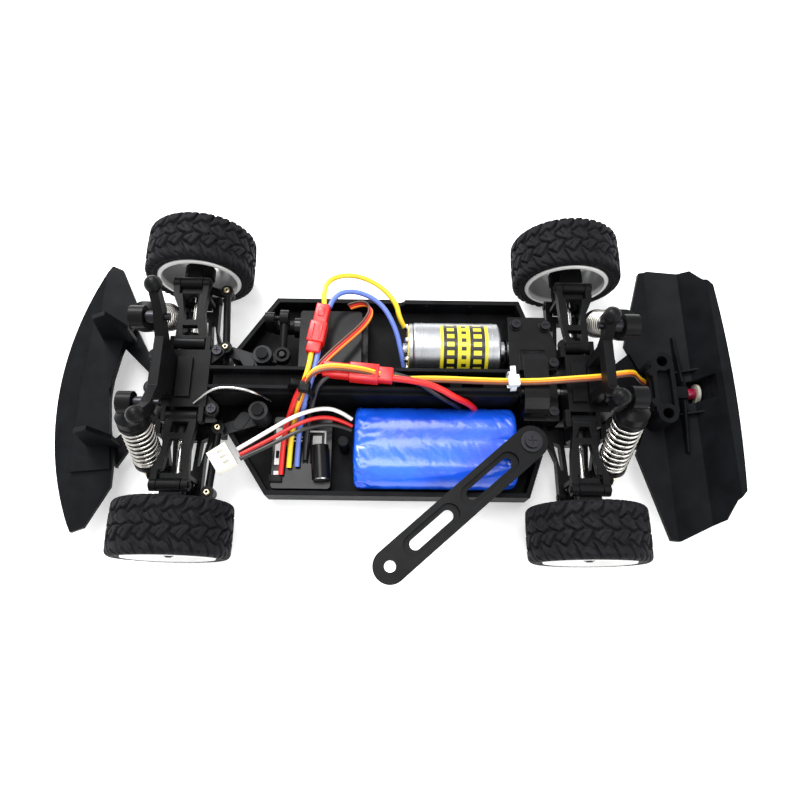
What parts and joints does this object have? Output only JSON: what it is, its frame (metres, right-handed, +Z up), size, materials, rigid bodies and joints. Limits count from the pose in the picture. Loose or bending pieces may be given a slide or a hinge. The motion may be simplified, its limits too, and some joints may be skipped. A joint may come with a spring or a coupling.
{
  "type": "radio-controlled drift car chassis",
  "caption": "Radio-controlled four-wheel-drive car chassis with its body shell off: black tub, battery, motor, servo, sprung wishbones, steering linkage and treaded tyres.",
  "frame": {"origin": "on the underside of the chassis tub, midway between the axles and on the car's centre line", "axes": "+X forward along the car, +Y to the car's left, +Z up; the tyres touch the ground 6 mm below the origin"},
  "size_m": [0.2863, 0.1521, 0.0704],
  "materials": {
    "black_chassis": "fine moulded grain",
    "black_parts": "satin moulded nylon",
    "black_gloss": "smooth",
    "motor_can": "plated can",
    "battery_wrap": "shrunk film",
    "wire_skin": "smooth",
    "balance_wire": "smooth",
    "ivory_plastic": "smooth",
    "nickel_steel": "nickel plated",
    "bright_steel": "turned",
    "black_steel": "blackened",
    "brass": "turned",
    "tyre_rubber": "moulded tread",
    "white_rim": "satin white nylon"
  },
  "bodies": {
    "chassis": {"chassis_tub": "black_chassis", "centre_spine": "black_chassis", "gearbox_housings": "black_parts", "shock_towers": "black_parts", "front_bumper": "black_parts", "rear_bumper": "black_parts", "gear_cover": "black_gloss", "motor": "motor_can", "battery_pack": "battery_wrap", "servo": "black_gloss", "speed_controller": "black_gloss", "wiring_harness": "wire_skin", "balance_lead": "balance_wire", "balance_plug": "ivory_plastic", "shock_springs": "nickel_steel", "screws_and_pins": "black_steel"},
    "front_left_lower_arm": {"front_left_lower_arm": "black_parts"},
    "front_left_upper_arm": {"front_left_upper_arm": "black_parts"},
    "front_left_hub_carrier": {"front_left_hub_carrier": "black_parts"},
    "front_left_knuckle": {"front_left_knuckle": "black_parts"},
    "front_left_wheel": {"front_left_tyre": "tyre_rubber", "front_left_rim": "white_rim"},
    "front_left_drive_shaft": {"front_left_drive_shaft": "bright_steel"},
    "front_left_shock_body": {"front_left_shock_body": "black_parts"},
    "front_left_shock_rod": {"front_left_shock_rod": "black_parts"},
    "front_right_lower_arm": {"front_right_lower_arm": "black_parts"},
    "front_right_upper_arm": {"front_right_upper_arm": "black_parts"},
    "front_right_hub_carrier": {"front_right_hub_carrier": "black_parts"},
    "front_right_knuckle": {"front_right_knuckle": "black_parts"},
    "front_right_wheel": {"front_right_tyre": "tyre_rubber", "front_right_rim": "white_rim"},
    "front_right_drive_shaft": {"front_right_drive_shaft": "bright_steel"},
    "front_right_shock_body": {"front_right_shock_body": "black_parts"},
    "front_right_shock_rod": {"front_right_shock_rod": "black_parts"},
    "rear_left_lower_arm": {"rear_left_lower_arm": "black_parts"},
    "rear_left_upper_arm": {"rear_left_upper_arm": "black_parts"},
    "rear_left_hub_carrier": {"rear_left_hub_carrier": "black_parts"},
    "rear_left_wheel": {"rear_left_tyre": "tyre_rubber", "rear_left_rim": "white_rim"},
    "rear_left_drive_shaft": {"rear_left_drive_shaft": "bright_steel"},
    "rear_left_shock_body": {"rear_left_shock_body": "black_parts"},
    "rear_left_shock_rod": {"rear_left_shock_rod": "black_parts"},
    "rear_right_lower_arm": {"rear_right_lower_arm": "black_parts"},
    "rear_right_upper_arm": {"rear_right_upper_arm": "black_parts"},
    "rear_right_hub_carrier": {"rear_right_hub_carrier": "black_parts"},
    "rear_right_wheel": {"rear_right_tyre": "tyre_rubber", "rear_right_rim": "white_rim"},
    "rear_right_drive_shaft": {"rear_right_drive_shaft": "bright_steel"},
    "rear_right_shock_body": {"rear_right_shock_body": "black_parts"},
    "rear_right_shock_rod": {"rear_right_shock_rod": "black_parts"},
    "left_bell_crank": {"left_bell_crank": "black_parts"},
    "left_tie_rod": {"left_tie_rod": "black_parts"},
    "right_bell_crank": {"right_bell_crank": "black_parts"},
    "right_tie_rod": {"right_tie_rod": "black_parts"},
    "cross_link": {"cross_link": "black_parts"},
    "drag_link": {"drag_link": "bright_steel"},
    "servo_horn": {"servo_horn": "black_gloss"},
    "centre_shaft": {"centre_shaft": "bright_steel"},
    "motor_pinion": {"motor_pinion": "brass"},
    "battery_strap": {"battery_strap": "black_parts"}
  },
  "joints": [
    {"name": "front_left_lower_arm", "type": "hinge", "parent": "chassis", "child": "front_left_lower_arm", "pos_m": [0.0825, 0.016, 0.008], "axis": [1, 0, 0], "range_deg": [-7, 8], "stiffness_Nm_per_rad": 0.75, "springref_deg": -8.02},
    {"name": "front_left_upper_arm", "type": "hinge", "parent": "chassis", "child": "front_left_upper_arm", "pos_m": [0.0825, 0.016, 0.027], "axis": [1, 0, 0], "range_deg": [-7, 8]},
    {"name": "front_left_hub_carrier", "type": "hinge", "parent": "front_left_lower_arm", "child": "front_left_hub_carrier", "pos_m": [0.0825, 0.044, 0.008], "axis": [1, 0, 0], "range_deg": [-8, 7]},
    {"name": "front_left_steer", "type": "hinge", "parent": "front_left_hub_carrier", "child": "front_left_knuckle", "pos_m": [0.0825, 0.0475, 0.018], "axis": [0, 0, 1], "range_deg": [-20, 20]},
    {"name": "front_left_wheel", "type": "hinge", "parent": "front_left_knuckle", "child": "front_left_wheel", "pos_m": [0.0825, 0.0605, 0.018], "axis": [0, 1, 0], "continuous": true},
    {"name": "front_left_drive_shaft", "type": "hinge", "parent": "front_left_lower_arm", "child": "front_left_drive_shaft", "pos_m": [0.0825, 0.032, 0.018], "axis": [0, 1, 0], "continuous": true},
    {"name": "front_left_shock_body", "type": "hinge", "parent": "chassis", "child": "front_left_shock_body", "pos_m": [0.0948, 0.0175, 0.0495], "axis": [1, 0, 0], "range_deg": [-1.2, 1.3]},
    {"name": "front_left_shock_rod", "type": "slide", "parent": "front_left_shock_body", "child": "front_left_shock_rod", "axis": [0, 0.4147, -0.91], "range_m": [-0.0027, 0.0024], "deforming": ["shock_springs"]},
    {"name": "front_right_lower_arm", "type": "hinge", "parent": "chassis", "child": "front_right_lower_arm", "pos_m": [0.0825, -0.016, 0.008], "axis": [-1, 0, 0], "range_deg": [-7, 8], "stiffness_Nm_per_rad": 0.75, "springref_deg": -8.02},
    {"name": "front_right_upper_arm", "type": "hinge", "parent": "chassis", "child": "front_right_upper_arm", "pos_m": [0.0825, -0.016, 0.027], "axis": [-1, 0, 0], "range_deg": [-7, 8]},
    {"name": "front_right_hub_carrier", "type": "hinge", "parent": "front_right_lower_arm", "child": "front_right_hub_carrier", "pos_m": [0.0825, -0.044, 0.008], "axis": [-1, 0, 0], "range_deg": [-8, 7]},
    {"name": "front_right_steer", "type": "hinge", "parent": "front_right_hub_carrier", "child": "front_right_knuckle", "pos_m": [0.0825, -0.0475, 0.018], "axis": [0, 0, 1], "range_deg": [-20, 20]},
    {"name": "front_right_wheel", "type": "hinge", "parent": "front_right_knuckle", "child": "front_right_wheel", "pos_m": [0.0825, -0.0605, 0.018], "axis": [0, 1, 0], "continuous": true},
    {"name": "front_right_drive_shaft", "type": "hinge", "parent": "front_right_lower_arm", "child": "front_right_drive_shaft", "pos_m": [0.0825, -0.032, 0.018], "axis": [0, 1, 0], "continuous": true},
    {"name": "front_right_shock_body", "type": "hinge", "parent": "chassis", "child": "front_right_shock_body", "pos_m": [0.0948, -0.0175, 0.0495], "axis": [-1, 0, 0], "range_deg": [-1.2, 1.3]},
    {"name": "front_right_shock_rod", "type": "slide", "parent": "front_right_shock_body", "child": "front_right_shock_rod", "axis": [0, -0.4147, -0.91], "range_m": [-0.0027, 0.0024], "deforming": ["shock_springs"]},
    {"name": "rear_left_lower_arm", "type": "hinge", "parent": "chassis", "child": "rear_left_lower_arm", "pos_m": [-0.0825, 0.016, 0.008], "axis": [1, 0, 0], "range_deg": [-7, 8], "stiffness_Nm_per_rad": 0.75, "springref_deg": -8.02},
    {"name": "rear_left_upper_arm", "type": "hinge", "parent": "chassis", "child": "rear_left_upper_arm", "pos_m": [-0.0825, 0.016, 0.027], "axis": [1, 0, 0], "range_deg": [-7, 8]},
    {"name": "rear_left_hub_carrier", "type": "hinge", "parent": "rear_left_lower_arm", "child": "rear_left_hub_carrier", "pos_m": [-0.0825, 0.044, 0.008], "axis": [1, 0, 0], "range_deg": [-8, 7]},
    {"name": "rear_left_wheel", "type": "hinge", "parent": "rear_left_hub_carrier", "child": "rear_left_wheel", "pos_m": [-0.0825, 0.0605, 0.018], "axis": [0, 1, 0], "continuous": true},
    {"name": "rear_left_drive_shaft", "type": "hinge", "parent": "rear_left_lower_arm", "child": "rear_left_drive_shaft", "pos_m": [-0.0825, 0.032, 0.018], "axis": [0, 1, 0], "continuous": true},
    {"name": "rear_left_shock_body", "type": "hinge", "parent": "chassis", "child": "rear_left_shock_body", "pos_m": [-0.0948, 0.0145, 0.054], "axis": [1, 0, 0], "range_deg": [-1.2, 1.3]},
    {"name": "rear_left_shock_rod", "type": "slide", "parent": "rear_left_shock_body", "child": "rear_left_shock_rod", "axis": [0, 0.4307, -0.9025], "range_m": [-0.0027, 0.0024], "deforming": ["shock_springs"]},
    {"name": "rear_right_lower_arm", "type": "hinge", "parent": "chassis", "child": "rear_right_lower_arm", "pos_m": [-0.0825, -0.016, 0.008], "axis": [-1, 0, 0], "range_deg": [-7, 8], "stiffness_Nm_per_rad": 0.75, "springref_deg": -8.02},
    {"name": "rear_right_upper_arm", "type": "hinge", "parent": "chassis", "child": "rear_right_upper_arm", "pos_m": [-0.0825, -0.016, 0.027], "axis": [-1, 0, 0], "range_deg": [-7, 8]},
    {"name": "rear_right_hub_carrier", "type": "hinge", "parent": "rear_right_lower_arm", "child": "rear_right_hub_carrier", "pos_m": [-0.0825, -0.044, 0.008], "axis": [-1, 0, 0], "range_deg": [-8, 7]},
    {"name": "rear_right_wheel", "type": "hinge", "parent": "rear_right_hub_carrier", "child": "rear_right_wheel", "pos_m": [-0.0825, -0.0605, 0.018], "axis": [0, 1, 0], "continuous": true},
    {"name": "rear_right_drive_shaft", "type": "hinge", "parent": "rear_right_lower_arm", "child": "rear_right_drive_shaft", "pos_m": [-0.0825, -0.032, 0.018], "axis": [0, 1, 0], "continuous": true},
    {"name": "rear_right_shock_body", "type": "hinge", "parent": "chassis", "child": "rear_right_shock_body", "pos_m": [-0.0948, -0.0145, 0.054], "axis": [-1, 0, 0], "range_deg": [-1.2, 1.3]},
    {"name": "rear_right_shock_rod", "type": "slide", "parent": "rear_right_shock_body", "child": "rear_right_shock_rod", "axis": [0, -0.4307, -0.9025], "range_m": [-0.0027, 0.0024], "deforming": ["shock_springs"]},
    {"name": "left_bell_crank", "type": "hinge", "parent": "chassis", "child": "left_bell_crank", "pos_m": [0.0507, 0.0124, 0.012], "axis": [0, 0, 1], "range_deg": [-15, 15]},
    {"name": "left_tie_rod", "type": "slide", "parent": "front_left_lower_arm", "child": "left_tie_rod", "axis": [0, 1, 0], "range_m": [-0.0045, 0.0045]},
    {"name": "right_bell_crank", "type": "hinge", "parent": "chassis", "child": "right_bell_crank", "pos_m": [0.0507, -0.0124, 0.012], "axis": [0, 0, 1], "range_deg": [-15, 15]},
    {"name": "right_tie_rod", "type": "slide", "parent": "front_right_lower_arm", "child": "right_tie_rod", "axis": [0, 1, 0], "range_m": [-0.0045, 0.0045]},
    {"name": "cross_link", "type": "hinge", "parent": "left_bell_crank", "child": "cross_link", "pos_m": [0.0585, 0.0124, 0.005], "axis": [0, 0, 1], "range_deg": [-15, 15]},
    {"name": "drag_link", "type": "slide", "parent": "chassis", "child": "drag_link", "axis": [0, 1, 0], "range_m": [-0.0025, 0.0025]},
    {"name": "servo_horn", "type": "hinge", "parent": "chassis", "child": "servo_horn", "pos_m": [0.0486, -0.0294, 0.014], "axis": [1, 0, 0], "range_deg": [-13, 13]},
    {"name": "centre_shaft", "type": "hinge", "parent": "chassis", "child": "centre_shaft", "pos_m": [0, 0, 0.016], "axis": [1, 0, 0], "continuous": true},
    {"name": "motor_pinion", "type": "hinge", "parent": "chassis", "child": "motor_pinion", "pos_m": [-0.063, -0.01895, 0.0146], "axis": [1, 0, 0], "continuous": true},
    {"name": "battery_strap", "type": "hinge", "parent": "chassis", "child": "battery_strap", "pos_m": [-0.0609, 0.0244, 0.0237], "axis": [0, 0, 1], "range_deg": [-41, 22]}
  ],
  "couplings": [
    {"joint": "front_left_upper_arm", "follows": "front_left_lower_arm", "ratio": 1},
    {"joint": "front_left_hub_carrier", "follows": "front_left_lower_arm", "ratio": -1},
    {"joint": "front_left_drive_shaft", "follows": "front_left_wheel", "ratio": 1},
    {"joint": "front_left_shock_body", "follows": "front_left_lower_arm", "ratio": 0.1444},
    {"joint": "front_left_shock_rod", "follows": "front_left_lower_arm", "m_per_rad": -0.01857},
    {"joint": "front_right_upper_arm", "follows": "front_right_lower_arm", "ratio": 1},
    {"joint": "front_right_hub_carrier", "follows": "front_right_lower_arm", "ratio": -1},
    {"joint": "front_right_drive_shaft", "follows": "front_right_wheel", "ratio": 1},
    {"joint": "front_right_shock_body", "follows": "front_right_lower_arm", "ratio": 0.1444},
    {"joint": "front_right_shock_rod", "follows": "front_right_lower_arm", "m_per_rad": -0.01857},
    {"joint": "rear_left_upper_arm", "follows": "rear_left_lower_arm", "ratio": 1},
    {"joint": "rear_left_hub_carrier", "follows": "rear_left_lower_arm", "ratio": -1},
    {"joint": "rear_left_drive_shaft", "follows": "rear_left_wheel", "ratio": 1},
    {"joint": "rear_left_shock_body", "follows": "rear_left_lower_arm", "ratio": 0.1353},
    {"joint": "rear_left_shock_rod", "follows": "rear_left_lower_arm", "m_per_rad": -0.01846},
    {"joint": "rear_right_upper_arm", "follows": "rear_right_lower_arm", "ratio": 1},
    {"joint": "rear_right_hub_carrier", "follows": "rear_right_lower_arm", "ratio": -1},
    {"joint": "rear_right_drive_shaft", "follows": "rear_right_wheel", "ratio": 1},
    {"joint": "rear_right_shock_body", "follows": "rear_right_lower_arm", "ratio": 0.1353},
    {"joint": "rear_right_shock_rod", "follows": "rear_right_lower_arm", "m_per_rad": -0.01846},
    {"joint": "left_bell_crank", "follows": "front_left_steer", "ratio": -0.714},
    {"joint": "left_tie_rod", "follows": "front_left_steer", "m_per_rad": 0.0125},
    {"joint": "right_bell_crank", "follows": "front_left_steer", "ratio": -0.714},
    {"joint": "right_tie_rod", "follows": "front_left_steer", "m_per_rad": 0.0125},
    {"joint": "front_right_steer", "follows": "front_left_steer", "ratio": 1},
    {"joint": "cross_link", "follows": "front_left_steer", "ratio": 0.714},
    {"joint": "drag_link", "follows": "front_left_steer", "m_per_rad": 0.00607},
    {"joint": "servo_horn", "follows": "front_left_steer", "ratio": -0.607},
    {"joint": "motor_pinion", "follows": "centre_shaft", "ratio": -1.7143}
  ]
}
